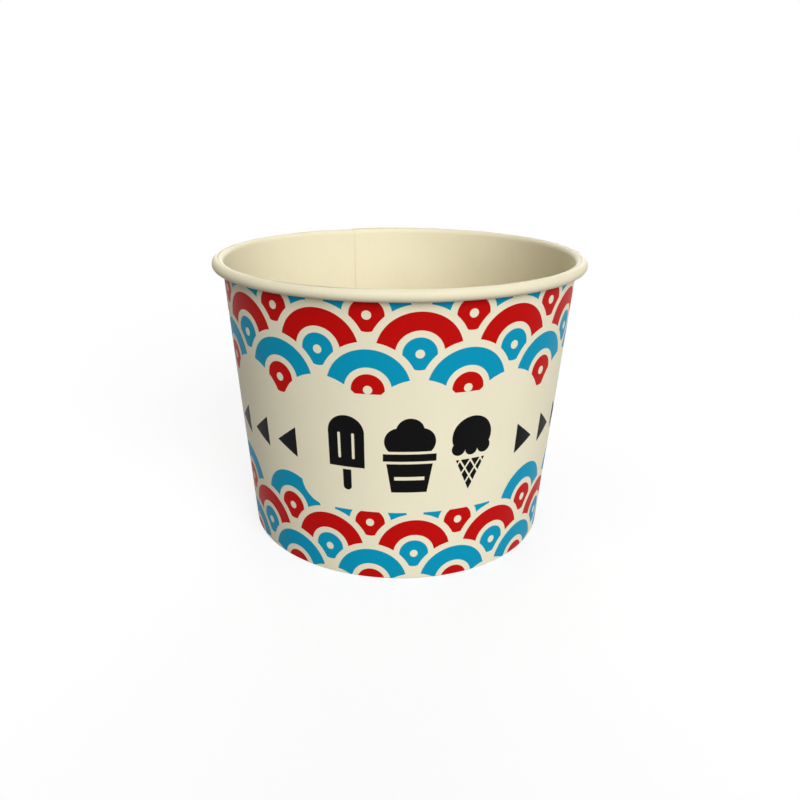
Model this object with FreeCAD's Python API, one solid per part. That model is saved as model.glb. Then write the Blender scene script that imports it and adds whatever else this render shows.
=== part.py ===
import FreeCAD, Part

import os
from math import acos, atan2, ceil, cos, degrees, hypot, radians, sin

from FreeCAD import Vector

# A paper dessert cup: a side wall of coated board and a skirted bottom disc.
# The origin is the centre of the base ring on the table. +Z is up and -Y is the front.
# Sizes are in millimetres and angles in degrees.

# Outside of the cup
rim_diameter = 97.0
base_diameter = 81.0
cup_height = 74.0

# Board, and the film of coating that seals two plies together
side_board = 0.40
disc_board = 0.35
seal_gap = 0.03

# Rolled rim: the size across the roll, how far it turns below its outermost point, and the air
# that half a turn there would leave beside the wall
curl_diameter = 3.0
curl_tuck_angle = 150.0
curl_air = 0.05

# Side seam: where the inner raw edge stands, how wide the lap is, and the turn of each of the
# two bends that carry the board out over its own edge
seam_azimuth = 108.0
lap_width = 8.0
climb_angle = 8.0

# Base: the hem that is folded up inside, the floor's height above the table, and the air
# between the end of the floor's skirt and the bottom of the fold that holds it
hem_height = 6.2
floor_recess = 7.0
skirt_end_air = 1.3

# A bend in the board is made of flats. They cut inside its curve by no more than the first
# value where the bend shows, and by no more than the second where it is hidden.
shown_tolerance = 0.052
hidden_tolerance = 0.19

# Worked out from the sizes above
rim_radius = rim_diameter / 2
base_radius = base_diameter / 2
curl_radius = curl_diameter / 2
curl_centre = Vector(rim_radius - curl_radius, 0, cup_height - curl_radius)

# The wall leans so that its outer face starts at the base and its inner face runs into the curl
lean_run = curl_centre.x - base_radius
lean_rise = curl_centre.z
lean_reach = hypot(lean_run, lean_rise)
lean_angle = degrees(acos((curl_radius - side_board) / lean_reach) - atan2(lean_rise, lean_run))
lean_sin = sin(radians(lean_angle))
lean_cos = cos(radians(lean_angle))

# Depths are measured inward, square to the outer face of the wall
skirt_depth = side_board + seal_gap
hem_depth = skirt_depth + disc_board + seal_gap

# The lap is measured along the outer face under the rim
under_rim_radius = rim_radius - curl_diameter + side_board
lap_angle = degrees(lap_width / under_rim_radius)

# The climb is two bends of equal turn, first flatter than the cup and then tighter. Together
# they move the section out by the board's thickness, measured level.
level_board = side_board / lean_cos
flat_bend_offset = level_board / (2 - 2 * cos(radians(climb_angle)))
tight_bend_offset = flat_bend_offset - level_board


def face_point(depth, height):
    """The point at a height on the line that lies a depth inside the wall's outer face."""
    return Vector(base_radius + (height * lean_sin - depth) / lean_cos, 0, height)


def polar_point(centre, radius, angle):
    """The point of the section at a radius and an angle from a centre, 0 outward and 90 up."""
    return centre + Vector(cos(radians(angle)), 0, sin(radians(angle))) * radius


def bend_points(centre, radius, angles, tolerance=shown_tolerance):
    """The corners of a bend's flats, through each of the given angles in turn."""
    flat_turn = degrees(2 * acos(1 - tolerance / radius))
    points = [polar_point(centre, radius, angles[0])]
    for start, end in zip(angles, angles[1:]):
        flats = ceil(abs(end - start) / flat_turn)
        for step in range(1, flats + 1):
            points.append(polar_point(centre, radius, start + (end - start) * step / flats))
    return points


def closed_face(corners):
    """The flat face inside a closed run of corners."""
    return Part.Face(Part.makePolygon(corners + corners[:1]))


def rolled_curl():
    """The rim's single ply, over the top and back under to the wall, from its inner face to its outer."""
    pitch = (side_board + curl_air) / 2
    under_centre = curl_centre + Vector(pitch, 0, 0)
    under_radius = curl_radius - pitch
    hollow_under = bend_points(
        under_centre, under_radius - side_board, [-curl_tuck_angle, 0], hidden_tolerance
    )
    hollow_top = bend_points(
        curl_centre, curl_radius - side_board, [0, 180 - lean_angle], hidden_tolerance
    )
    points = bend_points(curl_centre, curl_radius, [180 - lean_angle, 90, 0])
    points += bend_points(under_centre, under_radius, [0, -90, -curl_tuck_angle])[1:]
    return points + hollow_under + hollow_top[1:]


def packed_curl():
    """The rim at the lap, where two plies rolled together leave no hollow."""
    outer_centre = curl_centre + Vector(level_board, 0, 0)
    wall_reach = curl_radius - side_board
    foot_angle = -180 - lean_angle + degrees(acos(wall_reach / curl_radius))
    points = bend_points(curl_centre, curl_radius, [180 - lean_angle, 90])
    return points + bend_points(outer_centre, curl_radius, [90, 0, foot_angle])


def hem_end(inner_ply=0.0):
    """The hem's raw end, from its inner face to its outer."""
    inner_depth = hem_depth + side_board + inner_ply
    return [face_point(inner_depth, hem_height), face_point(hem_depth, hem_height)]


def side_profile(outer_ply=0.0, inner_ply=0.0, hem=True):
    """The side wall's section: base fold, wall, rim and hem. The lap adds a ply on each side."""
    outer_fold = face_point(side_board - outer_ply, side_board)
    inner_fold = face_point(hem_depth + inner_ply, side_board)
    corners = [face_point(hem_depth, side_board), face_point(side_board, side_board)]
    corners += packed_curl() if outer_ply else rolled_curl()
    corners += bend_points(outer_fold, side_board, [-lean_angle, -90])
    corners += bend_points(inner_fold, side_board, [-90, -180], hidden_tolerance)
    if hem:
        corners += hem_end(inner_ply)
    return closed_face(corners)


def climbing_hem_profile():
    """The hem where the wall climbs away from it, with a foot that stands on the base fold."""
    foot_top = 2 * side_board
    inner_foot = face_point(hem_depth, side_board) - Vector(side_board, 0, 0)
    corners = [face_point(skirt_depth, side_board), inner_foot] + hem_end()
    corners += [face_point(hem_depth, foot_top), face_point(skirt_depth, foot_top)]
    return closed_face(corners)


def disc_profile():
    """The bottom disc's section, from the axis out to its turned-down skirt."""
    skirt_inner_depth = skirt_depth + disc_board
    skirt_end = side_board + skirt_end_air
    fold = face_point(skirt_inner_depth, floor_recess)
    corners = [Vector(0, 0, floor_recess), Vector(0, 0, floor_recess + disc_board)]
    corners += bend_points(fold, disc_board, [90, -lean_angle])
    corners += [face_point(skirt_depth, skirt_end), face_point(skirt_inner_depth, skirt_end), fold]
    return closed_face(corners)


def direction(azimuth):
    """The flat unit direction at an azimuth."""
    return Vector(cos(radians(azimuth)), sin(radians(azimuth)), 0)


def rolled(profile, azimuth, turn, origin=Vector(0, 0, 0), centre=Vector(0, 0, 0)):
    """Stands a section on a plan origin at an azimuth and rolls it clockwise about a centre."""
    section = profile.copy()
    section.rotate(Vector(0, 0, 0), Vector(0, 0, 1), azimuth)
    section.translate(origin)
    return section.revolve(centre, Vector(0, 0, -1), turn)


def make_side_wall():
    """The blank rolled once round, climbing out over its own edge and lapping it."""
    climb_start = seam_azimuth + 2 * climb_angle
    climb_middle = seam_azimuth + climb_angle
    flat_centre = direction(climb_start) * -flat_bend_offset
    tight_origin = flat_centre + direction(climb_middle) * flat_bend_offset
    tight_centre = tight_origin + direction(climb_middle) * tight_bend_offset

    ring_turn = 360 - lap_angle - 2 * climb_angle
    ring = rolled(side_profile(), seam_azimuth - lap_angle, ring_turn)
    lap = rolled(side_profile(side_board, side_board), seam_azimuth, lap_angle)
    climbing = side_profile(inner_ply=side_board, hem=False)
    flat_bend = rolled(climbing, climb_start, climb_angle, centre=flat_centre)
    tight_bend = rolled(climbing, climb_middle, climb_angle, tight_origin, tight_centre)
    hem = rolled(climbing_hem_profile(), climb_start, 2 * climb_angle)
    return ring.fuse([lap, flat_bend, tight_bend, hem]).removeSplitter()


def make_bottom_disc():
    """The floor and its skirt, which stands between the wall and the hem."""
    return rolled(disc_profile(), seam_azimuth, 360)


os.makedirs("parts", exist_ok=True)

side_wall = make_side_wall()
side_wall.exportStep("parts/side_wall.step")

bottom_disc = make_bottom_disc()
bottom_disc.exportStep("parts/bottom_disc.step")
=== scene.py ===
"""Dresses the paper dessert cup: its lapped and rolled side wall with the print, and its floor.

Lengths are in metres unless a name says otherwise, and angles are in degrees. The frame is that of
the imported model: +Z is up, -Y is the front of the print, and the cup stands on the plane z = 0.
"""

from __future__ import annotations

import logging
import math
from dataclasses import dataclass, field
from enum import Enum, IntEnum
from typing import Any, Mapping, Sequence

import bpy
import numpy as np
from mathutils import Matrix, Vector

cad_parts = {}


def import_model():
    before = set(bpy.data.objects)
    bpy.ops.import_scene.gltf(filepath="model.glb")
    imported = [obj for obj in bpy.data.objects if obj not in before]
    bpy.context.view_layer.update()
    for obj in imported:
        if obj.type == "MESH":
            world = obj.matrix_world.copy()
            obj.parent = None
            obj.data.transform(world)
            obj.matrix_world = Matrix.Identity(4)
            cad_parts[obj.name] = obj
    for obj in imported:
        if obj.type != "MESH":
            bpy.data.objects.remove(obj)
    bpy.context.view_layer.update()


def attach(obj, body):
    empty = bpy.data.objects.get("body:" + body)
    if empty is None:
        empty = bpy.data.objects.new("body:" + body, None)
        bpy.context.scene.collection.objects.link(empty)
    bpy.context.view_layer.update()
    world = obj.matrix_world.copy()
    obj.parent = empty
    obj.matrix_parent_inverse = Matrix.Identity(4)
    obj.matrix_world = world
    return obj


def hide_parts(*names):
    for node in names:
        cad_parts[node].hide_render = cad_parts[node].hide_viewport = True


MM = 0.001
BAKE_MAP = "OFBake"
BLANK_PLACE = "blank_place"
# The point attribute that holds the share of painted shade along the roll's crease.
CREASE_SHADE = "crease"

Colour = tuple[float, float, float]

# The inside's cream: a warmer board tone, darkened as painted shade for the cup's inside.
SHADED_INNER_CREAM: Colour = (0.765, 0.704, 0.520)
WHITE = (1.0, 1.0, 1.0, 1.0)

log = logging.getLogger("dessert_cup")


def eased(value: float) -> float:
    """A smooth step from 0 to 1 over the same range."""
    held = min(max(value, 0.0), 1.0)
    return held * held * (3 - 2 * held)


def toned(colour: Colour, shares: Colour) -> Colour:
    """A colour with each part of it scaled by a share of its own."""
    return tuple(part * share for part, share in zip(colour, shares))


# Shader formulas


class Term:
    """A socket's value as a term of a formula: an operator on it adds a Math node."""

    def __init__(self, sheet: NodeSheet, socket: bpy.types.NodeSocket) -> None:
        """Args: sheet holds the tree that the formula grows in, and socket gives the value."""
        self.sheet = sheet
        self.socket = socket

    def math(self, operation: str, *others: Term | float, clamp: bool = False) -> Term:
        """Adds one Math node.

        Args:
            operation: The Math node's operation.
            others: The values after this one.
            clamp: Whether the result is held between 0 and 1.

        Returns:
            The node's result.
        """
        sockets = {place: value for place, value in enumerate((self, *others))}
        settings = {"operation": operation, "use_clamp": clamp}
        return self.sheet.node("ShaderNodeMath", settings, sockets).term(0)

    def __add__(self, other: Term | float) -> Term:
        """This plus the other."""
        return self.math("ADD", other)

    __radd__ = __add__

    def __mul__(self, other: Term | float) -> Term:
        """This times the other."""
        return self.math("MULTIPLY", other)

    __rmul__ = __mul__

    def __sub__(self, other: Term | float) -> Term:
        """This minus the other."""
        return self.math("SUBTRACT", other)

    def __rsub__(self, other: float) -> Term:
        """A number minus this."""
        return self.sheet.number(other).math("SUBTRACT", self)

    def __truediv__(self, other: Term | float) -> Term:
        """This over the other."""
        return self.math("DIVIDE", other)

    def __neg__(self) -> Term:
        """This with its sign changed."""
        return self.math("MULTIPLY", -1.0)

    def __abs__(self) -> Term:
        """This without its sign."""
        return self.math("ABSOLUTE")

    def __gt__(self, other: Term | float) -> Term:
        """1 where this is over the other, and 0 elsewhere."""
        return self.math("GREATER_THAN", other)

    def __mod__(self, other: Term | float) -> Term:
        """What is left of this after whole steps of the other, never below 0."""
        return self.math("FLOORED_MODULO", other)

    def root(self) -> Term:
        """Its square root."""
        return self.math("SQRT")

    def least(self, other: Term | float) -> Term:
        """The lower of the two."""
        return self.math("MINIMUM", other)

    def most(self, other: Term | float) -> Term:
        """The higher of the two."""
        return self.math("MAXIMUM", other)

    def held(self) -> Term:
        """This, held between 0 and 1."""
        return self.math("ADD", 0.0, clamp=True)


class Node:
    """A node of a shader, with its results as terms."""

    def __init__(self, sheet: NodeSheet, node: bpy.types.Node) -> None:
        """Args: sheet holds the tree, and node is the one that was added to it."""
        self.sheet = sheet
        self.node = node

    def term(self, output: int | str) -> Term:
        """One of its results, as a term of a formula."""
        return Term(self.sheet, self.node.outputs[output])


class NodeSheet:
    """A node tree that formulas and nodes are added to."""

    def __init__(self, tree: bpy.types.NodeTree) -> None:
        """Args: tree is emptied first."""
        tree.nodes.clear()
        self.tree = tree

    def node(
        self,
        kind: str,
        settings: Mapping[str, Any] | None = None,
        sockets: Mapping[int | str, Any] | None = None,
    ) -> Node:
        """Adds a node.

        Args:
            kind: The node's type.
            settings: Its settings, set first.
            sockets: A value, or a term or node to link, for each socket by name or number.

        Returns:
            The node.
        """
        made = self.tree.nodes.new(kind)
        for name, value in (settings or {}).items():
            setattr(made, name, value)
        for place, value in (sockets or {}).items():
            if isinstance(value, Term):
                self.tree.links.new(value.socket, made.inputs[place])
            elif isinstance(value, Node):
                self.tree.links.new(value.node.outputs[0], made.inputs[place])
            else:
                made.inputs[place].default_value = value
        return Node(self, made)

    def number(self, value: float) -> Term:
        """A number as a term."""
        node = self.node("ShaderNodeValue")
        node.node.outputs[0].default_value = value
        return node.term(0)

    def length(self, across: Term, along: Term) -> Term:
        """How far a point is from the origin."""
        return (across * across + along * along).root()

    def mix_colours(self, low: Any, high: Any, share: Term | float) -> Term:
        """Mixes two colours.

        Args:
            low: The colour at a share of 0.
            high: The colour at a share of 1.
            share: How much of high there is.

        Returns:
            The mixed colour.
        """
        first, second = ((*end, 1.0) if isinstance(end, tuple) else end for end in (low, high))
        sockets = {0: share, 6: first, 7: second}
        return self.node("ShaderNodeMix", {"data_type": "RGBA"}, sockets).term(2)

    def noise(self, place: Term, scale: float, detail: float = 2.0, rough: float = 0.5) -> Term:
        """Fractal noise around 0.5.

        Args:
            place: Where it is read.
            scale: How many features there are in a unit of length.
            detail: How many finer layers it has.
            rough: How strong the finer layers are.

        Returns:
            The noise's value.
        """
        sockets = {"Vector": place, "Scale": scale, "Detail": detail, "Roughness": rough}
        return self.node("ShaderNodeTexNoise", {}, sockets).term("Fac")

    def end_in_paper(
        self, colour: Term, rough: Term, specular: float, height: Term, bump: tuple[float, float]
    ) -> None:
        """Ends the tree in a rough and slightly uneven surface.

        Args:
            colour: The surface's colour.
            rough: Its roughness, which is held between 0 and 1.
            specular: The level of its mirrored light.
            height: How high each point of it stands.
            bump: How strongly the height shows, and the length that a height of 1 stands for.
        """
        strength, unit = bump
        sockets = {"Strength": strength, "Distance": unit, "Height": height}
        uneven = self.node("ShaderNodeBump", {}, sockets)
        sockets = {
            "Base Color": colour,
            "Roughness": rough.held(),
            "Specular IOR Level": specular,
            "Normal": uneven,
        }
        shader = self.node("ShaderNodeBsdfPrincipled", {}, sockets)
        self.node("ShaderNodeOutputMaterial", {}, {"Surface": shader})


def new_material(name: str) -> tuple[bpy.types.Material, NodeSheet]:
    """A new material, and the sheet of its shader."""
    made = bpy.data.materials.new(name)
    made.use_nodes = True
    return made, NodeSheet(made.node_tree)


# Finishes


class Ink(Enum):
    """The inks of the print, as linear colours."""

    RED = (0.500, 0.0030, 0.0022)
    BLUE = (0.0012, 0.285, 0.460)
    BLACK = (0.0012, 0.0012, 0.0014)


@dataclass(frozen=True)
class CoatedBoard:
    """Cream board under a thin satin coating.

    The scales are features in a metre, and the two heights are in millimetres.
    """

    name: str
    colour: Colour = (0.852, 0.797, 0.602)
    deep_share: Colour = (0.955, 0.945, 0.915)
    light_share: Colour = (1.02, 1.02, 1.02)
    # Painted shade: the shares that darken the board along the roll's crease.
    crease_shade_share: Colour = (0.50, 0.44, 0.36)
    roughness: float = 0.50
    cloud_rough: float = 0.10
    fibre_rough: float = 0.08
    ink_gloss: float = 0.03
    specular: float = 0.065
    cloud_scale: float = 85.0
    fibre_scale: float = 900.0
    fibre_stretch: float = 0.28
    peel_scale: float = 1500.0
    grain_height: float = 0.010
    peel_height: float = 0.020
    bump_strength: float = 0.55

    def material(self) -> bpy.types.Material:
        """Builds the material.

        Returns:
            The board's material.
        """
        made, sheet = new_material(self.name)
        place = sheet.node("ShaderNodeTexCoord").term("Object")
        cloud = sheet.noise(place, self.cloud_scale, 3.0)
        fibre = sheet.noise(self._along_grain(sheet, place), self.fibre_scale, 4.0, 0.6)
        peel = sheet.noise(place, self.peel_scale)
        colour, inked = self.printed(sheet, self._board_colour(sheet, cloud, fibre))
        rough = self.roughness + (cloud - 0.5) * self.cloud_rough
        rough = rough + (fibre - 0.5) * self.fibre_rough - inked * self.ink_gloss
        height = fibre * self.grain_height + peel * self.peel_height
        sheet.end_in_paper(colour, rough, self.specular, height, (self.bump_strength, MM))
        return made

    def _along_grain(self, sheet: NodeSheet, place: Term) -> Term:
        """Stretches the place along the board's grain, which runs up the cup."""
        sockets = {"Vector": place, "Scale": (1.0, 1.0, self.fibre_stretch)}
        return sheet.node("ShaderNodeMapping", {"vector_type": "POINT"}, sockets).term(0)

    def _board_colour(self, sheet: NodeSheet, cloud: Term, fibre: Term) -> Term:
        """The cream of the board: a little uneven as pulp is, with painted shade along the roll's
        crease.
        """
        share = (cloud * 0.9 + fibre * 0.5 - 0.2).held()
        tones = (self.deep_share, self.light_share, self.crease_shade_share)
        deep, light, painted_shade = (toned(self.colour, tone) for tone in tones)
        board = sheet.mix_colours(deep, light, share)
        # Painted shade along the roll's crease, from the share noted on the mesh's points.
        crease_shade = sheet.node("ShaderNodeAttribute", {"attribute_name": CREASE_SHADE}).term("Fac")
        return sheet.mix_colours(board, painted_shade, crease_shade * (0.60 + cloud * 0.75))

    def printed(self, sheet: NodeSheet, board: Term) -> tuple[Term, Term]:
        """The colour with what is printed on the board, and how much ink there is: none here."""
        return board, sheet.number(0.0)


@dataclass(frozen=True)
class CutEdge:
    """The raw edge of the board, where its plies of pulp show."""

    name: str = "cut_edge_of_board"
    colour: Colour = (0.700, 0.630, 0.470)
    core: Colour = (0.790, 0.730, 0.560)
    roughness: float = 0.82
    pulp_rough: float = 0.2
    specular: float = 0.2
    pulp_scale: float = 2600.0
    bump: tuple[float, float] = (0.6, 0.05 * MM)

    def material(self) -> bpy.types.Material:
        """Builds the material.

        Returns:
            The cut edge's material.
        """
        made, sheet = new_material(self.name)
        place = sheet.node("ShaderNodeTexCoord").term("Object")
        pulp = sheet.noise(place, self.pulp_scale, 4.0, 0.65)
        colour = sheet.mix_colours(self.colour, self.core, pulp)
        rough = self.roughness + (pulp - 0.5) * self.pulp_rough
        sheet.end_in_paper(colour, rough, self.specular, pulp, self.bump)
        return made


@dataclass(frozen=True)
class ScaleRows:
    """Rows of round scales, the lower ones in front. Sizes are in millimetres."""

    radius: float = 11.22
    row_step: float = 8.6
    outer_gap: float = 1.7
    outer_stroke: float = 4.2
    inner_gap: float = 1.55
    inner_stroke: float = 2.75
    lower_rows: float = 1.5
    upper_rows: float = 4.5
    foot: float = 7.9

    def arcs(self, sheet: NodeSheet, along: Term, up: Term) -> tuple[Term, Term, Term, Term]:
        """Where a point lies in the scale that shows there.

        Args:
            sheet: The tree that the formulas grow in.
            along: How far round the blank the point is.
            up: How far up the blank it is.

        Returns:
            The distances to the outer and to the inner arc, below 0 inside them, 1 on every second
            row of scales, and 1 on the rows that are printed.
        """
        level = up - self.foot
        front = ((level - self.radius) / self.row_step).math("CEIL")
        reach, row = self._from_middle(sheet, along, level, front), front
        for _ in range(2):
            missed = reach > self.radius
            row = row + missed
            reach = self._from_middle(sheet, along, level, row)
        outer_middle = self.radius - self.outer_gap - self.outer_stroke / 2
        inner_middle = outer_middle - (self.outer_stroke + self.inner_stroke) / 2 - self.inner_gap
        above = level - row * self.row_step
        outer = (abs(reach - outer_middle) - self.outer_stroke / 2).most(-above)
        inner = abs(reach - inner_middle) - self.inner_stroke / 2
        printed = (row > self.upper_rows).most(1 - (row > self.lower_rows))
        printed = printed * (1 - (reach > self.radius))
        return outer, inner, row % 2.0, printed

    def _from_middle(self, sheet: NodeSheet, along: Term, level: Term, row: Term) -> Term:
        """How far a point is from the middle of the nearest scale of a row."""
        cells = along / (2 * self.radius) + (row % 2.0) * 0.5
        across = (cells % 1.0 - 0.5) * (2 * self.radius)
        return sheet.length(across, level - row * self.row_step)


@dataclass(frozen=True)
class ConeSign:
    """A scoop with a wavy hem on a scored cone. Places are from the sign's middle."""

    scoop: float = 5.1
    scoop_level: float = 3.9
    hem_level: float = 0.6
    middle_lobe: float = 1.6
    side_lobe: float = 1.75
    side_lobe_place: tuple[float, float] = (3.3, 0.9)
    cone_top: float = -2.0
    cone_tip: float = -10.2
    cone_slope: float = 0.47
    slant_share: float = 0.9
    score_slope: float = 0.62
    score_step: float = 2.7
    score_half: float = 0.24

    def distance(self, sheet: NodeSheet, across: Term, up: Term) -> Term:
        """The distance to the sign, below 0 inside it."""
        side = abs(across)
        out, level = self.side_lobe_place
        scoop = sheet.length(across, up - self.scoop_level) - self.scoop
        hem = sheet.length(side - out, up - level) - self.side_lobe
        hem = hem.least(sheet.length(across, up - self.hem_level) - self.middle_lobe)
        cone = side - (up - self.cone_tip) * self.cone_slope
        cone = cone.most(up - self.cone_top) * self.slant_share
        rising, falling = (
            abs((across + up * slope) % self.score_step - self.score_step / 2)
            for slope in (self.score_slope, -self.score_slope)
        )
        cone = cone.most(self.score_half - rising.least(falling))
        return scoop.most(self.hem_level - up).least(hem).least(cone)


@dataclass(frozen=True)
class TubSign:
    """Three scoops over a tub with a rim and a bare band. Places are from the sign's middle."""

    low_scoop: float = 3.5
    low_scoop_place: tuple[float, float] = (2.5, 3.6)
    top_scoop: float = 3.3
    top_scoop_level: float = 6.2
    scoop_foot: float = 1.1
    rim_half: tuple[float, float] = (6.3, 0.95)
    rim_level: float = -0.5
    tub_top: float = -2.1
    tub_foot: float = -9.6
    foot_half: float = 4.3
    tub_slope: float = 0.16
    band_half: tuple[float, float] = (3.6, 0.45)
    band_level: float = -5.9

    def distance(self, sheet: NodeSheet, across: Term, up: Term) -> Term:
        """The distance to the sign, below 0 inside it."""
        side = abs(across)
        out, level = self.low_scoop_place
        low = sheet.length(side - out, up - level) - self.low_scoop
        top = sheet.length(across, up - self.top_scoop_level) - self.top_scoop
        scoops = low.least(top).most(self.scoop_foot - up)
        rim = (side - self.rim_half[0]).most(abs(up - self.rim_level) - self.rim_half[1])
        tub = side - self.foot_half - (up - self.tub_foot) * self.tub_slope
        tub = tub.most(up - self.tub_top).most(self.tub_foot - up)
        band = (abs(up - self.band_level) - self.band_half[1]).most(side - self.band_half[0])
        return scoops.least(rim).least(tub.most(-band))


@dataclass(frozen=True)
class PopSign:
    """An ice pop with two grooves, on its stick. Places are from the sign's middle."""

    body_half: float = 4.4
    crown_level: float = 5.2
    body_foot: float = -3.6
    groove_half: tuple[float, float] = (0.325, 3.0)
    groove_place: tuple[float, float] = (1.7, 1.9)
    stick_half: tuple[float, float] = (1.05, 2.1)
    stick_level: float = -6.6
    stick_top: float = -4.3

    def distance(self, sheet: NodeSheet, across: Term, up: Term) -> Term:
        """The distance to the sign, below 0 inside it."""
        body = sheet.length(across, (up - self.crown_level).most(0.0)) - self.body_half
        body = body.most(self.body_foot - up)
        out, level = self.groove_place
        groove = self._bar(sheet, abs(across) - out, up - level, self.groove_half)
        stick = self._bar(sheet, across, up - self.stick_level, self.stick_half)
        return body.most(-groove).least(stick.most(up - self.stick_top))

    @staticmethod
    def _bar(sheet: NodeSheet, across: Term, up: Term, half: tuple[float, float]) -> Term:
        """The distance to an upright bar with round ends, from its half width and its reach."""
        return sheet.length(across, (abs(up) - half[1]).most(0.0)) - half[0]


@dataclass(frozen=True)
class DessertSigns:
    """Three plain black signs in a row: an ice pop, a tub and a cone. Sizes are in millimetres."""

    spacing: float = 15.0
    cone: ConeSign = ConeSign()
    tub: TubSign = TubSign()
    pop: PopSign = PopSign()

    def distance(self, sheet: NodeSheet, across: Term, up: Term) -> Term:
        """The distance to the nearest sign, below 0 inside it.

        Args:
            sheet: The tree that the formulas grow in.
            across: How far the point is to the side of the middle sign.
            up: How far the point is above the signs' middle.

        Returns:
            The distance.
        """
        cone = self.cone.distance(sheet, across + self.spacing, up)
        tub = self.tub.distance(sheet, across, up)
        pop = self.pop.distance(sheet, across - self.spacing, up)
        return cone.least(tub).least(pop)


@dataclass(frozen=True)
class PrintedBoard(CoatedBoard):
    """The board's printed face. Places on the flat blank are in millimetres, as are these sizes."""

    name: str = "printed_board"
    scales: ScaleRows = field(default_factory=ScaleRows)
    signs: DessertSigns = field(default_factory=DessertSigns)
    panel_middle: tuple[float, float] = (147.5, 34.7)
    panel_half: tuple[float, float] = (28.0, 15.2)
    panel_corner: float = 6.5
    arrow_first: float = 31.7
    arrow_step: float = 10.3
    arrow_count: int = 3
    arrow_height: float = 34.4
    arrow_length: float = 6.4
    arrow_tip: float = 0.54
    arrow_slope: float = 0.62
    arrow_tilt: float = 0.12
    slant_share: float = 0.85
    ink_edge: float = 0.10
    bleed: float = -1.3
    lay_scale: float = 0.9
    thin_share: float = 1.07
    thin_lift: float = 0.001
    full_share: float = 0.96

    def printed(self, sheet: NodeSheet, board: Term) -> tuple[Term, Term]:
        """Prints the wrap's pattern, its bare panel and its black signs.

        Args:
            sheet: The tree that the formulas grow in.
            board: The bare board's colour.

        Returns:
            The printed colour, and how much ink there is.
        """
        place = sheet.node("ShaderNodeAttribute", {"attribute_name": BLANK_PLACE}).term("Vector")
        apart = sheet.node("ShaderNodeSeparateXYZ", {}, {0: place})
        along, up = apart.term(0), apart.term(1)
        red, blue = self._pattern(sheet, along, up)
        side = along - self.panel_middle[0]
        rise = up - self.panel_middle[1]
        panel = self._inked(self._panel(sheet, side, rise))
        shown = (1 - panel) * (up > self.bleed)
        red, blue = red * shown, blue * shown
        signs = self.signs.distance(sheet, side, rise)
        black = self._inked(self._arrows(side, up).least(signs))
        lay = sheet.noise(place, self.lay_scale, 3.0, 0.6)
        colour = board
        for ink, cover in ((Ink.RED, red), (Ink.BLUE, blue), (Ink.BLACK, black)):
            colour = sheet.mix_colours(colour, self._ink_lay(sheet, ink, lay), cover)
        return colour, (red + blue + black).held()

    def _pattern(self, sheet: NodeSheet, along: Term, up: Term) -> tuple[Term, Term]:
        """The red and the blue of the scales, which change places from row to row."""
        outer, inner, second, printed = self.scales.arcs(sheet, along, up)
        outer, inner = self._inked(outer) * printed, self._inked(inner) * printed
        first = 1 - second
        return outer * first + inner * second, outer * second + inner * first

    def _panel(self, sheet: NodeSheet, side: Term, rise: Term) -> Term:
        """The distance to the bare panel in front, below 0 inside it."""
        wide = (abs(side) - (self.panel_half[0] - self.panel_corner)).most(0.0)
        high = (abs(rise) - (self.panel_half[1] - self.panel_corner)).most(0.0)
        return sheet.length(wide, high) - self.panel_corner

    def _arrows(self, side: Term, up: Term) -> Term:
        """The distance to the plain triangles that point away from the panel on both sides."""
        out = abs(side) - self.arrow_first
        step = (out / self.arrow_step).math("ROUND").most(0.0).least(self.arrow_count - 1)
        out = out - step * self.arrow_step
        rise = up - self.arrow_height + out * self.arrow_tilt
        tip = self.arrow_length * self.arrow_tip
        sides = abs(rise) - (tip - out) * self.arrow_slope
        return sides.most(tip - self.arrow_length - out) * self.slant_share

    def _inked(self, distance: Term) -> Term:
        """1 inside a shape and 0 outside, over the width of an ink's edge."""
        return (distance * (-1 / self.ink_edge)).math("ADD", 0.5, clamp=True)

    def _ink_lay(self, sheet: NodeSheet, ink: Ink, lay: Term) -> Term:
        """An ink's colour, a little thinner here and there."""
        thin = tuple(part * self.thin_share + self.thin_lift for part in ink.value)
        full = tuple(part * self.full_share for part in ink.value)
        return sheet.mix_colours(full, thin, lay)


# Shapes


def ramp(values: np.ndarray, start: float, end: float) -> np.ndarray:
    """0 on the start's side and 1 on the end's side, and even between the two."""
    return np.clip((values - start) / (end - start), 0, 1)


@dataclass(frozen=True)
class Wave:
    """A sine wave round the cup, in radians. The twist is what the cup's full height adds to it."""

    count: int
    phase: float
    size: float
    twist: float = 0.0

    def at(self, azimuths: np.ndarray | float, share: np.ndarray | float = 0.0) -> np.ndarray:
        """The wave at azimuths in radians, at a share of the height."""
        return self.size * np.sin(self.count * azimuths + self.twist * share + self.phase)


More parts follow.
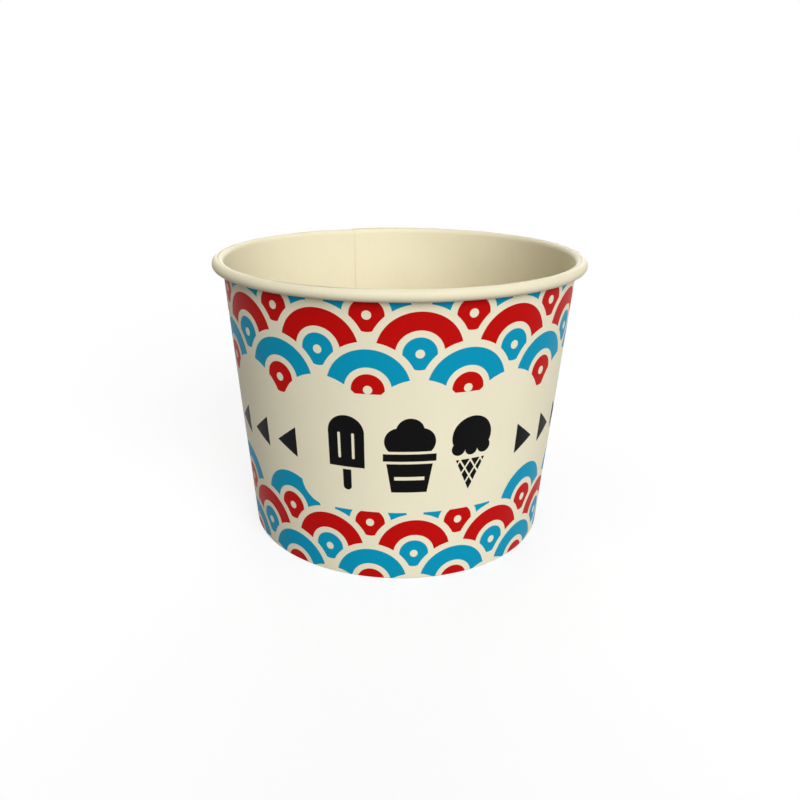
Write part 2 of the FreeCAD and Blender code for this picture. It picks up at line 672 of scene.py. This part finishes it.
@dataclass(frozen=True)
class CupSizes:
    """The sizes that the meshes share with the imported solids."""

    rim_radius: float = 48.5 * MM
    base_radius: float = 40.5 * MM
    height: float = 74.0 * MM
    side_board: float = 0.40 * MM
    disc_board: float = 0.35 * MM
    seal_gap: float = 0.03 * MM
    roll_radius: float = 1.5 * MM
    roll_air: float = 0.05 * MM
    roll_tuck: float = 150.0
    seam_azimuth: float = 108.0
    lap_turn: float = 10.04
    climb_turn: float = 16.0
    hem_height: float = 6.2 * MM
    floor_recess: float = 7.0 * MM
    skirt_end_air: float = 1.3 * MM
    inside_box: float = 0.006 * MM

    @property
    def lean(self) -> float:
        """The angle by which the wall leans out, in radians."""
        run = self.rim_radius - self.roll_radius - self.base_radius
        rise = self.height - self.roll_radius
        reach = math.hypot(run, rise)
        return math.acos((self.roll_radius - self.side_board) / reach) - math.atan2(rise, run)

    @property
    def hem_depth(self) -> float:
        """From the wall's outer face to the hem's outer face, square to the wall."""
        return self.side_board + self.disc_board + 2 * self.seal_gap

    @property
    def level_board(self) -> float:
        """The board's thickness, measured level."""
        return self.side_board / math.cos(self.lean)

    def face_point(self, depth: float, height: float) -> np.ndarray:
        """The radius and height of a point that lies a depth inside the wall's outer face."""
        out = height * math.sin(self.lean) - depth
        return np.array([self.base_radius + out / math.cos(self.lean), height])


class Region(IntEnum):
    """The stretches of the board's section, from the raw edge of the hem to that of the roll."""

    HEM = 0
    FOLD = 1
    WALL = 2
    ROLL = 3


@dataclass
class Station:
    """The board's section at one place along its turn: matching points of its two faces."""

    plain: list[np.ndarray] = field(default_factory=list)
    printed: list[np.ndarray] = field(default_factory=list)
    regions: list[Region] = field(default_factory=list)
    crease_shade: list[float] = field(default_factory=list)

    def add(
        self, region: Region, plain: np.ndarray, printed: np.ndarray, crease_shade: float = 0.0
    ) -> None:
        """Adds a pair of points, one on each face, and the share of painted shade along the crease
        there.
        """
        self.plain.append(plain)
        self.printed.append(printed)
        self.regions.append(region)
        self.crease_shade.append(crease_shade)


@dataclass(frozen=True)
class Crease:
    """The soft crease along the roll's inner edge, with one dent, where it drops, and the painted
    shade along it.
    """

    depth: float = 0.06 * MM
    half: float = 8.0
    level: float = 95.0
    wander: tuple[Wave, ...] = (Wave(3, math.radians(20), 2.0), Wave(11, 0.0, 1.5))
    dent_drop: float = 11.0
    dent_steps: tuple[tuple[float, float, float], ...] = (
        (205.0, 12.0, 1.0),
        (232.0, 2.0, -0.4),
        (234.0, 20.0, -0.6),
    )
    strength: float = 0.85
    unevenness: Wave = Wave(5, math.radians(40), 0.15)
    fall: float = 2.5

    def angle(self, turn: float) -> float:
        """Where the crease lies at a turn, 0 outward and 90 up."""
        wander = sum(wave.at(math.radians(turn)) for wave in self.wander)
        dent = sum(size * eased((turn - start) / run) for start, run, size in self.dent_steps)
        return self.level + wander - self.dent_drop * dent

    def share(self, turn: float, angle: float, half: float) -> float:
        """How creased the board is at a turn and at an angle of the roll, over a half width: this
        sets the crease's depth, and at twice the width its painted shade.
        """
        away = (angle - self.angle(turn)) / half
        strength = self.strength + self.unevenness.at(math.radians(turn))
        return strength * math.exp(-(away**2) * self.fall)


@dataclass(frozen=True)
class RolledBoard:
    """How the side wall's blank stands in section, at any turn from its inner raw edge.

    The blank starts as the inner ply of the lap, goes once round, climbs out over its own edge and
    ends as the outer ply.
    """

    sizes: CupSizes = field(default_factory=CupSizes)
    settle_turn: float = 4.0
    rim_press: float = 0.42
    press_start: float = 50.0 * MM
    press_end: float = 68.0 * MM
    crease: Crease = Crease()
    fold_inner: float = 0.12
    tuck_less: float = 27.0
    hem_steps: int = 8
    fold_steps: int = 6
    wall_steps: int = 14
    roll_steps: tuple[int, int, int, int] = (7, 8, 9, 13)

    @property
    def whole_turn(self) -> float:
        """The turn from one raw edge to the other."""
        return 360.0 + self.sizes.lap_turn

    def under_lap(self, turn: float) -> float:
        """1 where the board is the inner ply of the lap, easing to 0 past it."""
        return 1.0 - eased((turn - self.sizes.lap_turn) / self.settle_turn)

    def over_lap(self, turn: float) -> float:
        """0 round the cup, easing to 1 where the board is the outer ply of the lap."""
        return eased((turn - 360.0 + self.sizes.climb_turn) / self.sizes.climb_turn)

    def station(self, turn: float) -> Station:
        """The board's section at a turn.

        Args:
            turn: The turn from the inner raw edge, in degrees.

        Returns:
            The pairs of points, from the hem's raw edge to the roll's.
        """
        made = Station()
        self._hem_and_fold(made, turn)
        self._wall_and_roll(made, turn)
        return made

    def _hem_and_fold(self, made: Station, turn: float) -> None:
        """Adds the hem, and the fold that it stands on."""
        cup, board = self.sizes, self.sizes.side_board
        rise = board * self.under_lap(turn)
        inset = (board + cup.seal_gap) * self.over_lap(turn)
        climb = (cup.level_board + cup.seal_gap) * self.over_lap(turn)
        lean = math.degrees(cup.lean)
        for step in range(self.hem_steps):
            share = step / self.hem_steps
            height = cup.hem_height + (board + rise - cup.hem_height) * share
            outer = cup.face_point(cup.hem_depth + inset, height)
            inner = cup.face_point(cup.hem_depth + inset + board, height)
            made.add(Region.HEM, outer, inner)
        inner_bend = cup.face_point(cup.hem_depth + inset, board) + [0.0, rise]
        outer_bend = cup.face_point(board, board) + [climb, rise]
        for centre, first, last in (
            (inner_bend, -180.0 - lean, -90.0),
            (outer_bend, -90.0, -lean),
        ):
            for step in range(self.fold_steps + 1):
                angle = math.radians(first + (last - first) * step / self.fold_steps)
                ray = np.array([math.cos(angle), math.sin(angle)])
                inside = centre + ray * board * self.fold_inner
                made.add(Region.FOLD, inside, centre + ray * board)

    def _wall_and_roll(self, made: Station, turn: float) -> None:
        """Adds the wall, and the roll that it runs into at its inner face."""
        cup, board = self.sizes, self.sizes.side_board
        over, under = self.over_lap(turn), self.under_lap(turn)
        rolled = board * (1 - self.rim_press * max(over, under))
        radius = cup.roll_radius - cup.inside_box + rolled / 2 * (under - over)
        centre_height = cup.height - cup.inside_box - rolled * over - radius
        face = self._inner_face(turn, centre_height)
        centre = face + [radius / math.cos(cup.lean), 0.0]
        start = 180.0 - math.degrees(cup.lean)
        leave = centre + self._ray(start) * radius
        base = board * (1 + under)
        for step in range(1, self.wall_steps):
            height = base + (leave[1] - base) * step / self.wall_steps
            inner = self._inner_face(turn, height)
            out = self._thickness(turn, height) / math.cos(cup.lean)
            made.add(Region.WALL, inner, inner + [out, 0.0])
        for angle in self._roll_angles(turn, start):
            ray = self._ray(angle)
            outer = radius - self.crease.depth * self.crease.share(turn, angle, self.crease.half)
            # Painted shade along the crease, over twice the dent's width.
            painted_shade = self.crease.share(turn, angle, 2 * self.crease.half)
            made.add(Region.ROLL, centre + ray * outer, centre + ray * (outer - rolled), painted_shade)
        pitch = (rolled + cup.roll_air) / 2
        tucked = centre + [pitch, 0.0]
        tuck = cup.roll_tuck - self.tuck_less * under
        for step in range(self.roll_steps[3] + 1):
            ray = self._ray(-tuck * step / self.roll_steps[3])
            outer, inner = radius - pitch, radius - pitch - rolled
            made.add(Region.ROLL, tucked + ray * outer, tucked + ray * inner)

    def _thickness(self, turn: float, height: float) -> float:
        """The board's thickness, which the rolling presses at the top of the lap."""
        share = eased((height - self.press_start) / (self.press_end - self.press_start))
        lapped = max(self.over_lap(turn), self.under_lap(turn))
        return self.sizes.side_board * (1 - self.rim_press * lapped * share)

    def _inner_face(self, turn: float, height: float) -> np.ndarray:
        """The point of the wall's inner face at a height: outside the inner ply where it laps."""
        cup = self.sizes
        climb = self._thickness(turn, height) / math.cos(cup.lean) + cup.seal_gap
        return cup.face_point(cup.side_board, height) + [climb * self.over_lap(turn), 0.0]

    def _roll_angles(self, turn: float, start: float) -> list[float]:
        """The angles of the roll's points down to its outermost one, closer at the crease."""
        middle, reach = self.crease.angle(turn), 2 * self.crease.half
        high, low = middle + reach, middle - reach
        runs = ((start, high), (high, low), (low, 0.0))
        return [
            first + (last - first) * step / steps
            for (first, last), steps in zip(runs, self.roll_steps)
            for step in range(steps)
        ]

    @staticmethod
    def _ray(angle: float) -> np.ndarray:
        """The unit direction at an angle, 0 outward and 90 up."""
        return np.array([math.cos(math.radians(angle)), math.sin(math.radians(angle))])


def map_box(across: Sequence[float], up: Sequence[float]) -> list[tuple[float, float]]:
    """The corners of a box on a piece's map, round it from the low left one."""
    return [(across[0], up[0]), (across[1], up[0]), (across[1], up[1]), (across[0], up[1])]


class Shell:
    """A sheet of board as a closed mesh, from matching grids of points on its two faces."""

    def __init__(self, first: np.ndarray, second: np.ndarray) -> None:
        """Lays out the mesh's points.

        Args:
            first: One face's points, by column and row.
            second: The other face's points, by column and row.
        """
        self.columns, self.rows = first.shape[:2]
        self.points = np.concatenate([first.reshape(-1, 3), second.reshape(-1, 3)])
        self.faces: list[tuple[int, ...]] = []
        self.slots: list[int] = []
        self.places: list[tuple[float, float]] = []

    def point(self, face: int, column: int, row: int) -> int:
        """The number of a point. Face 0 is the first grid's, and columns wrap round."""
        return (face * self.columns + column % self.columns) * self.rows + row

    def add(self, corners: Sequence[tuple[int, int, int]], slot: int, uv: Sequence[tuple]) -> None:
        """Adds a face between points.

        Args:
            corners: The face, column and row of each point.
            slot: The material slot.
            uv: Where each corner lies on the piece's map.
        """
        self.faces.append(tuple(self.point(*corner) for corner in corners))
        self.slots.append(slot)
        self.places.extend(uv)

    def add_patch(
        self, face: int, loop: Sequence[tuple[int, int]], slot: int, uv: Sequence[tuple]
    ) -> None:
        """Adds a patch of one grid, by its columns and rows. Those of face 1 are turned round."""
        order = -1 if face else 1
        self.add([(face, *place) for place in loop][::order], slot, uv[::order])

    def add_edge(
        self, face: int, start: tuple[int, int], end: tuple[int, int], slot: int, uv: Sequence[tuple]
    ) -> None:
        """Adds a patch of raw edge, from two neighbours on one face to those on the other."""
        other = 1 - face
        self.add([(face, *start), (face, *end), (other, *end), (other, *start)], slot, uv)

    def mesh(self, name: str, materials: Sequence[bpy.types.Material]) -> bpy.types.Object:
        """Makes the object.

        Args:
            name: The piece's name.
            materials: The materials, by slot.

        Returns:
            The object, smooth apart from the edges between slots.
        """
        mesh = bpy.data.meshes.new(name)
        mesh.from_pydata(self.points.tolist(), [], self.faces)
        for material in materials:
            mesh.materials.append(material)
        mesh.polygons.foreach_set("material_index", self.slots)
        mesh.polygons.foreach_set("use_smooth", [True] * len(self.faces))
        layer = mesh.uv_layers.new(name=BAKE_MAP)
        layer.data.foreach_set("uv", np.array(self.places, np.float32).ravel())
        mesh.update()
        mesh.set_sharp_from_angle(angle=math.radians(50.0))
        made = bpy.data.objects.new(name, mesh)
        bpy.context.scene.collection.objects.link(made)
        return made


class WallSlot(IntEnum):
    """The side wall's material slots."""

    PLAIN = 0
    PRINTED = 1
    EDGE = 2


class MapBand(Enum):
    """The low and high end of each band of the side wall's map, above its two printed strips."""

    PLAIN = (0.895, 0.935)
    FOLDS = (0.940, 0.970)
    ROLL_END = (0.975, 0.980)
    HEM_END = (0.982, 0.986)
    INNER_END = (0.988, 0.992)
    OUTER_END = (0.994, 0.998)

    def box(
        self, across: Sequence[float], part: Sequence[float] = (0.0, 1.0)
    ) -> list[tuple[float, float]]:
        """The corners of a box in a part of the band."""
        low, high = self.value
        return map_box(across, [low + (high - low) * share for share in part])


@dataclass
class SideWall:
    """The printed blank, rolled once round and lapped, with its roll, base fold and hem."""

    board: RolledBoard = field(default_factory=RolledBoard)
    printed: PrintedBoard = field(default_factory=PrintedBoard)
    plain: CoatedBoard = field(
        default_factory=lambda: CoatedBoard("inner_board", SHADED_INNER_CREAM)
    )
    edge: CutEdge = field(default_factory=CutEdge)
    column_count: int = 493
    edge_turns: tuple[float, ...] = (0.0, 0.08, 0.2, 0.36, 0.6, 1.0, 1.5)
    edge_round: float = 0.13 * MM
    wall_wave: float = 0.07 * MM
    wall_waves: tuple[Wave, ...] = (
        Wave(2, 0.6, 1.0),
        Wave(5, 1.9, 0.6, 4.0),
        Wave(11, 0.4, 0.35, -7.0),
    )
    wave_foot: tuple[float, float] = (0.15, 0.40)
    wave_head: tuple[float, float] = (0.985, 0.865)
    rim_wave: float = 0.06 * MM
    rim_waves: tuple[Wave, ...] = (Wave(3, 1.1, 0.28), Wave(17, 0.7, 0.22))
    knurl_count: int = 124
    knurl_depth: float = 0.07 * MM
    knurl_foot: float = 1.0 * MM
    knurl_margin: float = 0.5 * MM
    knurl_fade: float = 0.6 * MM
    blank_radius_mm: float = 43.6
    map_margin: float = 0.004
    strip_width: float = 0.992
    strip_height: float = 0.437
    strip_step: float = 0.445

    def build(self) -> bpy.types.Object:
        """Builds and dresses the side wall.

        Returns:
            The piece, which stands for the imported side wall.
        """
        turns = self._turns()
        stations = [self.board.station(turn) for turn in turns]
        regions = np.array(stations[0].regions)
        plain = np.array([station.plain for station in stations])
        printed = np.array([station.printed for station in stations])
        azimuths = np.radians(self.board.sizes.seam_azimuth - turns)[:, None]
        heights = self._heights_on_blank(printed[0], regions)
        plain, printed = self._shaped(plain, printed, regions, azimuths)
        self._round_raw_edges(plain, printed, turns)
        shell = Shell(self._rolled(plain, azimuths), self._rolled(printed, azimuths))
        self._add_faces(shell, regions, heights, turns / turns[-1])
        made = shell.mesh(
            "side_wall_board",
            [self.plain.material(), self.printed.material(), self.edge.material()],
        )
        self._note_blank_places(made, turns, heights)
        # The share of painted shade along the roll's crease, on the plain face's points.
        crease_shade = np.array([station.crease_shade for station in stations], np.float32).ravel()
        layer = made.data.attributes.new(CREASE_SHADE, "FLOAT", "POINT")
        layer.data.foreach_set("value", np.concatenate([crease_shade, np.zeros_like(crease_shade)]))
        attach(made, "root")
        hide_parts("side_wall")
        return made

    def _turns(self) -> np.ndarray:
        """The turns of the mesh's columns, closer together at the two raw edges."""
        near = np.array(self.edge_turns)
        whole = self.board.whole_turn
        gap = near[-1] - near[-2]
        between = np.linspace(
            near[-1] + gap, whole - near[-1] - gap, self.column_count - 2 * len(near)
        )
        return np.concatenate([near, between, whole - near[::-1]])

    def _round_raw_edges(self, plain: np.ndarray, printed: np.ndarray, turns: np.ndarray) -> None:
        """Presses down the corners of the raw edges that show: one inside, one outside."""
        across = printed - plain
        thickness = np.maximum(np.linalg.norm(across, axis=-1, keepdims=True), 0.001 * MM)
        across = across / thickness
        reach = self.edge_turns[-2]
        inside = np.clip(1 - turns / reach, 0, 1) ** 2
        outside = np.clip(1 - (turns[-1] - turns) / reach, 0, 1) ** 2
        plain += across * (self.edge_round * inside)[:, None, None]
        printed -= across * (self.edge_round * outside)[:, None, None]

    @staticmethod
    def _rolled(section: np.ndarray, azimuths: np.ndarray) -> np.ndarray:
        """Stands sections of radius and height at their azimuths."""
        radius, height = section[..., 0], section[..., 1]
        return np.stack([radius * np.cos(azimuths), radius * np.sin(azimuths), height], axis=-1)

    def _heights_on_blank(self, section: np.ndarray, regions: np.ndarray) -> np.ndarray:
        """How far up the flat blank each row of the mesh is, from the base fold, in millimetres."""
        steps = np.linalg.norm(np.diff(section, axis=0), axis=1) / MM
        run = np.concatenate([[0.0], np.cumsum(steps)])
        foot = int(np.argmax(regions == Region.WALL))
        start = section[foot, 1] / math.cos(self.board.sizes.lean) / MM
        return run - run[foot] + start

    def _shaped(
        self, plain: np.ndarray, printed: np.ndarray, regions: np.ndarray, azimuths: np.ndarray
    ) -> tuple[np.ndarray, np.ndarray]:
        """Gives the board what rolling and pressing leave: soft waves, and the hem's knurling."""
        height = printed[..., 1]
        share = height / self.board.sizes.height
        window = ramp(share, *self.wave_foot) * ramp(share, *self.wave_head)
        wave = sum(part.at(azimuths, share) for part in self.wall_waves)
        bulge = self.wall_wave * window * wave / sum(part.size for part in self.wall_waves)
        rolled = (regions == Region.ROLL)[None, :]
        sag = self.rim_wave * (0.5 + sum(part.at(azimuths) for part in self.rim_waves))
        for face in (plain, printed):
            face[..., 0] += bulge
            face[..., 1] -= np.where(rolled, sag, 0.0)
        hem = (regions == Region.HEM)[None, :]
        top = self.board.sizes.hem_height - self.knurl_margin
        grip = ramp(height, self.knurl_foot, self.knurl_foot + self.knurl_fade)
        grip = grip * ramp(height, top, top - self.knurl_fade)
        tooth = 0.5 + 0.5 * np.cos(self.knurl_count * azimuths)
        printed[..., 0] -= np.where(hem, self.knurl_depth * tooth * grip, 0.0)
        return plain, printed

    def _add_faces(
        self, shell: Shell, regions: np.ndarray, heights: np.ndarray, shares: np.ndarray
    ) -> None:
        """Adds the two faces of the board and its four raw edges."""
        last, rows = shell.columns - 1, shell.rows - 1
        for column in range(last):
            following, strip = column + 1, column // (last // 2)
            across = (shares[column], shares[following])
            for row in range(rows):
                up = row + 1
                part = (row / rows, up / rows)
                loop = [(column, row), (following, row), (following, up), (column, up)]
                shell.add_patch(0, loop, WallSlot.PLAIN, MapBand.PLAIN.box(across, part))
                if Region.WALL in (regions[row], regions[up]):
                    box = self._strip_box(strip, across, (heights[row], heights[up]))
                else:
                    box = MapBand.FOLDS.box(across, part)
                shell.add_patch(1, loop, WallSlot.PRINTED, box)
            for face, row, band in ((0, rows, MapBand.ROLL_END), (1, 0, MapBand.HEM_END)):
                ends = (column, row), (following, row)
                shell.add_edge(face, *ends, WallSlot.EDGE, band.box(across))
        for row in range(rows):
            part = (row / rows, (row + 1) / rows)
            for face, column, band in ((0, 0, MapBand.INNER_END), (1, last, MapBand.OUTER_END)):
                ends = (column, row), (column, row + 1)
                shell.add_edge(face, *ends, WallSlot.EDGE, band.box(part))

    def _strip_box(
        self, strip: int, across: Sequence[float], heights: Sequence[float]
    ) -> list[tuple[float, float]]:
        """A printed patch's corners on the map, where the wall lies in two strips of half a turn."""
        top = self.board.sizes.height / MM
        foot = self.map_margin + strip * self.strip_step
        sides = [self.map_margin + self.strip_width * (2 * share - strip) for share in across]
        levels = [foot + self.strip_height * max(height, 0.0) / top for height in heights]
        return map_box(sides, levels)

    def _note_blank_places(
        self, made: bpy.types.Object, turns: np.ndarray, heights: np.ndarray
    ) -> None:
        """Notes each point's place on the flat blank, for the print."""
        along = np.repeat(np.radians(turns) * self.blank_radius_mm, len(heights))
        up = np.tile(heights, len(turns))
        places = np.stack([along, up, np.zeros_like(up)], axis=-1)
        layer = made.data.attributes.new(BLANK_PLACE, "FLOAT_VECTOR", "POINT")
        layer.data.foreach_set("vector", np.tile(places, (2, 1)).astype(np.float32).ravel())


class DiscSlot(IntEnum):
    """The bottom disc's material slots."""

    BOARD = 0
    EDGE = 1


@dataclass
class BottomDisc:
    """The floor, drawn down at its edge into a skirt that the base fold holds."""

    sizes: CupSizes = field(default_factory=CupSizes)
    wall: RolledBoard = field(default_factory=RolledBoard)
    board: CoatedBoard = field(default_factory=lambda: CoatedBoard("floor_board", SHADED_INNER_CREAM))
    edge: CutEdge = field(default_factory=lambda: CutEdge("cut_edge_of_floor"))
    column_count: int = 288
    floor_steps: int = 26
    bend_steps: int = 8
    skirt_steps: int = 5
    bend_inner: float = 0.10
    sag: float = 0.12 * MM
    sag_reach: float = 0.93
    floor_wave: Wave = Wave(2, 1.0, 0.06 * MM)
    pucker: Wave = Wave(72, 0.0, 0.025 * MM)
    pucker_middle: float = 0.955
    pucker_half: float = 0.018
    pressed: tuple[float, float] = (0.85, 0.94)
    pocket_turn: float = 2.5
    map_radius: float = 0.24
    map_edge: tuple[float, float] = (0.60, 0.62)

    def build(self) -> bpy.types.Object:
        """Builds and dresses the floor.

        Returns:
            The piece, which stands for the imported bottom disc.
        """
        upper, lower = self._section()
        azimuths = np.radians(np.arange(self.column_count) * 360.0 / self.column_count)[:, None]
        grids = [self._rippled(face, azimuths) for face in (upper, lower)]
        shell = Shell(*grids)
        self._add_faces(shell)
        made = shell.mesh("bottom_disc_board", [self.board.material(), self.edge.material()])
        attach(made, "root")
        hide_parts("bottom_disc")
        return made

    def _section(self) -> tuple[np.ndarray, np.ndarray]:
        """Matching points of the upper and lower face, from the middle to the skirt's end."""
        cup, board = self.sizes, self.sizes.disc_board
        skirt_depth = cup.side_board + cup.seal_gap
        bend = cup.face_point(skirt_depth + board, cup.floor_recess)
        upper, lower = [], []
        for step in range(1, self.floor_steps + 1):
            radius = bend[0] * step / self.floor_steps
            upper.append([radius, bend[1] + board])
            lower.append([radius, bend[1]])
        lean = math.degrees(cup.lean)
        for step in range(1, self.bend_steps + 1):
            angle = math.radians(90.0 - (90.0 + lean) * step / self.bend_steps)
            ray = np.array([math.cos(angle), math.sin(angle)])
            upper.append(bend + ray * board)
            lower.append(bend + ray * board * self.bend_inner)
        end = cup.side_board + cup.skirt_end_air
        for step in range(1, self.skirt_steps + 1):
            height = bend[1] + (end - bend[1]) * step / self.skirt_steps
            upper.append(cup.face_point(skirt_depth, height))
            lower.append(cup.face_point(skirt_depth + board, height))
        return np.array(upper), np.array(lower)

    def _rippled(self, face: np.ndarray, azimuths: np.ndarray) -> np.ndarray:
        """Stands a face round the cup, with its sag and the puckers that drawing it down leaves."""
        radius, height = face[None, :, 0], face[None, :, 1]
        share = np.clip(radius / self.sizes.base_radius, 0, 1)
        dish = self.sag * np.clip(1 - (share / self.sag_reach) ** 2, 0, 1)
        wave = self.floor_wave.at(azimuths) * share**2 * (1 - share) * 4
        from_pucker = (share - self.pucker_middle) / self.pucker_half
        ripple = self.pucker.at(azimuths) * np.exp(-(from_pucker**2))
        on_floor = height > self.sizes.floor_recess - 0.01 * MM
        up = np.where(on_floor, wave + ripple - dish, 0.0)
        reach = radius + self._follow_wall(azimuths) * ramp(share, *self.pressed)
        return np.stack([reach * np.cos(azimuths), reach * np.sin(azimuths), height + up], axis=-1)

    def _follow_wall(self, azimuths: np.ndarray) -> np.ndarray:
        """How far the edge is pressed out with the wall, where that climbs over its inner ply."""
        past_edge = (np.degrees(azimuths) - self.sizes.seam_azimuth) % 360.0
        climb = [self.wall.over_lap(360.0 - turn) for turn in past_edge.ravel()]
        pocket = [eased(turn / self.pocket_turn) for turn in past_edge.ravel()]
        follow = np.array(climb) * np.array(pocket) * self.sizes.level_board
        return follow.reshape(azimuths.shape)

    def _add_faces(self, shell: Shell) -> None:
        """Adds the two faces, the skirt's raw edge, and the caps in the middle."""
        rows, count = shell.rows - 1, self.column_count
        for column in range(count):
            following = column + 1
            for row in range(rows):
                up = row + 1
                loop = [(column, row), (column, up), (following, up), (following, row)]
                self._add_patch(shell, loop)
            end = [(0, column, rows), (1, column, rows), (1, following, rows), (0, following, rows)]
            across = (column / count, following / count)
            shell.add(end, DiscSlot.EDGE, map_box(across, self.map_edge))
        self._add_patch(shell, [(column, 0) for column in range(count)])

    def _add_patch(self, shell: Shell, loop: Sequence[tuple[int, int]]) -> None:
        """Adds a patch to each of the two faces, which lie side by side as circles on the map."""
        for face, middle in ((0, 0.25), (1, 0.75)):
            places = []
            for column, row in loop:
                angle = 2 * math.pi * column / self.column_count
                reach = self.map_radius * (row + 1) / shell.rows
                places.append((middle + reach * math.cos(angle), 0.25 + reach * math.sin(angle)))
            shell.add_patch(face, loop, DiscSlot.BOARD, places)


# Studio


@dataclass(frozen=True)
class SoftSun:
    """A broad soft light from far away."""

    name: str
    azimuth: float
    elevation: float
    width: float
    strength: float
    colour: Colour = (1.0, 1.0, 1.0)

    def build(self) -> None:
        """Places the light."""
        lamp = bpy.data.lights.new(self.name, "SUN")
        lamp.energy = self.strength
        lamp.angle = math.radians(self.width)
        lamp.color = self.colour
        made = bpy.data.objects.new(self.name, lamp)
        bpy.context.scene.collection.objects.link(made)
        flat, rise = math.radians(self.azimuth), math.radians(self.elevation)
        towards = Vector(
            (math.cos(flat) * math.cos(rise), math.sin(flat) * math.cos(rise), math.sin(rise))
        )
        made.rotation_euler = towards.to_track_quat("Z", "Y").to_euler()
        made.location = towards


@dataclass(frozen=True)
class CameraPlace:
    """Where the photograph was taken from. Angles are in radians here."""

    place: tuple[float, float, float] = (0.0, -201.4562 * MM, 106.8819 * MM)
    yaw: float = -0.0335
    pitch: float = 0.355
    roll: float = 0.0008
    focal_share: float = 758.5185 / 800
    shift: float = (400.0 - 373.0019) / 800
    sensor: float = 36.0
    clip: tuple[float, float] = (0.01, 100.0)

    def build(self) -> None:
        """Places the camera."""
        turn, dip = (math.cos(self.yaw), math.sin(self.yaw)), math.cos(self.pitch)
        forward = Vector((turn[1] * dip, turn[0] * dip, -math.sin(self.pitch)))
        right = Vector((turn[0], -turn[1], 0.0))
        down = forward.cross(right)
        across = right * math.cos(self.roll) + down * math.sin(self.roll)
        lower = down * math.cos(self.roll) - right * math.sin(self.roll)
        lens = bpy.data.cameras.new("camera")
        lens.sensor_width = self.sensor
        lens.lens = self.focal_share * self.sensor
        lens.shift_x = self.shift
        lens.clip_start, lens.clip_end = self.clip
        made = bpy.data.objects.new("camera", lens)
        bpy.context.scene.collection.objects.link(made)
        turned = Matrix((across, -lower, -forward)).transposed().to_4x4()
        made.matrix_world = Matrix.Translation(self.place) @ turned
        bpy.context.scene.camera = made


@dataclass
class Studio:
    """A plain floor under soft light, with a white background."""

    camera: CameraPlace = field(default_factory=CameraPlace)
    suns: tuple[SoftSun, ...] = (
        SoftSun("key_light", -69.0, 27.0, 45.0, 2.74),
        SoftSun("side_light", -40.0, 38.0, 50.0, 0.30, (0.90, 1.0, 1.12)),
        SoftSun("high_light", -150.0, 74.0, 60.0, 0.85),
        SoftSun("back_light", 88.0, 14.0, 50.0, 2.10),
    )
    room_light: float = 0.11
    floor_half: float = 6.0
    floor_drop: float = 0.02 * MM
    floor_tone: float = 0.22
    floor_shade: float = 0.26
    floor_white: float = 0.997

    @property
    def floor_glow(self) -> float:
        """What brings the open floor up to white for the camera."""
        suns = sum(sun.strength * math.sin(math.radians(sun.elevation)) for sun in self.suns)
        return self.floor_white - self.floor_shade * (self.room_light + suns / math.pi)

    def build(self) -> None:
        """Sets the view, the camera, the lights, the room and the floor."""
        bpy.context.scene.view_settings.view_transform = "Standard"
        self.camera.build()
        for sun in self.suns:
            sun.build()
        self._room()
        self._floor()

    @staticmethod
    def _seen(sheet: NodeSheet) -> Term:
        """1 for what the camera sees, also in gloss or through clear things."""
        path = sheet.node("ShaderNodeLightPath")
        seen = path.term("Is Camera Ray").most(path.term("Is Glossy Ray"))
        return seen.most(path.term("Is Transmission Ray"))

    def _room(self) -> None:
        """An even room light, white where the camera sees it."""
        world = bpy.data.worlds.new("room")
        bpy.context.scene.world = world
        world.use_nodes = True
        sheet = NodeSheet(world.node_tree)
        light, white = (
            sheet.node("ShaderNodeBackground", {}, {"Color": WHITE, "Strength": strength})
            for strength in (self.room_light, 1.0)
        )
        mixed = sheet.node("ShaderNodeMixShader", {}, {0: self._seen(sheet), 1: light, 2: white})
        sheet.node("ShaderNodeOutputWorld", {}, {"Surface": mixed})

    def _floor(self) -> None:
        """A plain floor that looks white to the camera and keeps the cup's shadow."""
        half = self.floor_half
        mesh = bpy.data.meshes.new("studio_floor")
        corners = [(-half, -half, 0.0), (half, -half, 0.0), (half, half, 0.0), (-half, half, 0.0)]
        mesh.from_pydata(corners, [], [(0, 1, 2, 3)])
        made = bpy.data.objects.new("studio_floor", mesh)
        made.location = (0.0, 0.0, -self.floor_drop)
        bpy.context.scene.collection.objects.link(made)
        paint, sheet = new_material("studio_floor")
        plain, shade = (
            sheet.node("ShaderNodeBsdfDiffuse", {}, {"Color": (tone, tone, tone, 1.0)})
            for tone in (self.floor_tone, self.floor_shade)
        )
        sockets = {"Color": WHITE, "Strength": self.floor_glow}
        glow = sheet.node("ShaderNodeEmission", {}, sockets)
        white = sheet.node("ShaderNodeAddShader", {}, {0: shade, 1: glow})
        mixed = sheet.node("ShaderNodeMixShader", {}, {0: self._seen(sheet), 1: plain, 2: white})
        sheet.node("ShaderNodeOutputMaterial", {}, {"Surface": mixed})
        mesh.materials.append(paint)


def main() -> None:
    """Builds the cup and its studio, and reports each piece."""
    logging.basicConfig(level=logging.INFO, format="%(message)s")
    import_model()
    Studio().build()
    for sub_assembly in (SideWall(), BottomDisc()):
        made = sub_assembly.build()
        log.info("%s: %d faces", made.name, len(made.data.polygons))


if __name__ == "__main__":
    main()
